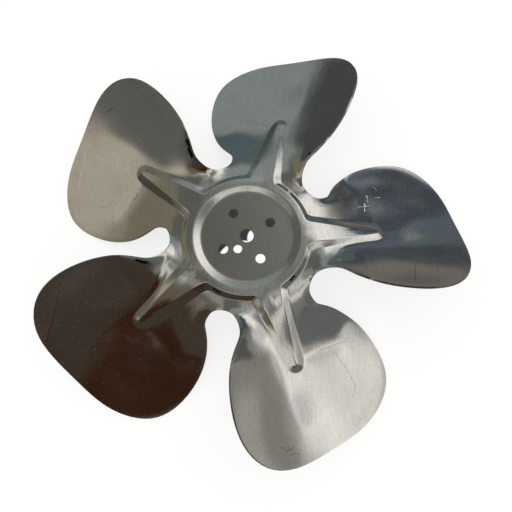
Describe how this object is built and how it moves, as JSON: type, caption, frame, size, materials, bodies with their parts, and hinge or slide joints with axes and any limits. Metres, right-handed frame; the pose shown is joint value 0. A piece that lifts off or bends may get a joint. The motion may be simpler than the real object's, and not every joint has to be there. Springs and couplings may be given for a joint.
{
  "type": "axial fan blade",
  "caption": "Pressed aluminium axial fan blade with twisted blades round a star-shaped boss, a recessed disc and screw holes.",
  "frame": {"origin": "on the fan's axis, at the front face of the recessed disc that bolts to the motor", "axes": "+Z along the fan's axis towards the raised side of the star, +X along one spoke"},
  "size_m": [0.1924, 0.1973, 0.039],
  "materials": {
    "sheet": "bare rolled sheet, faint grain"
  },
  "bodies": {
    "root": {"fan_blade": "sheet"}
  },
  "joints": []
}
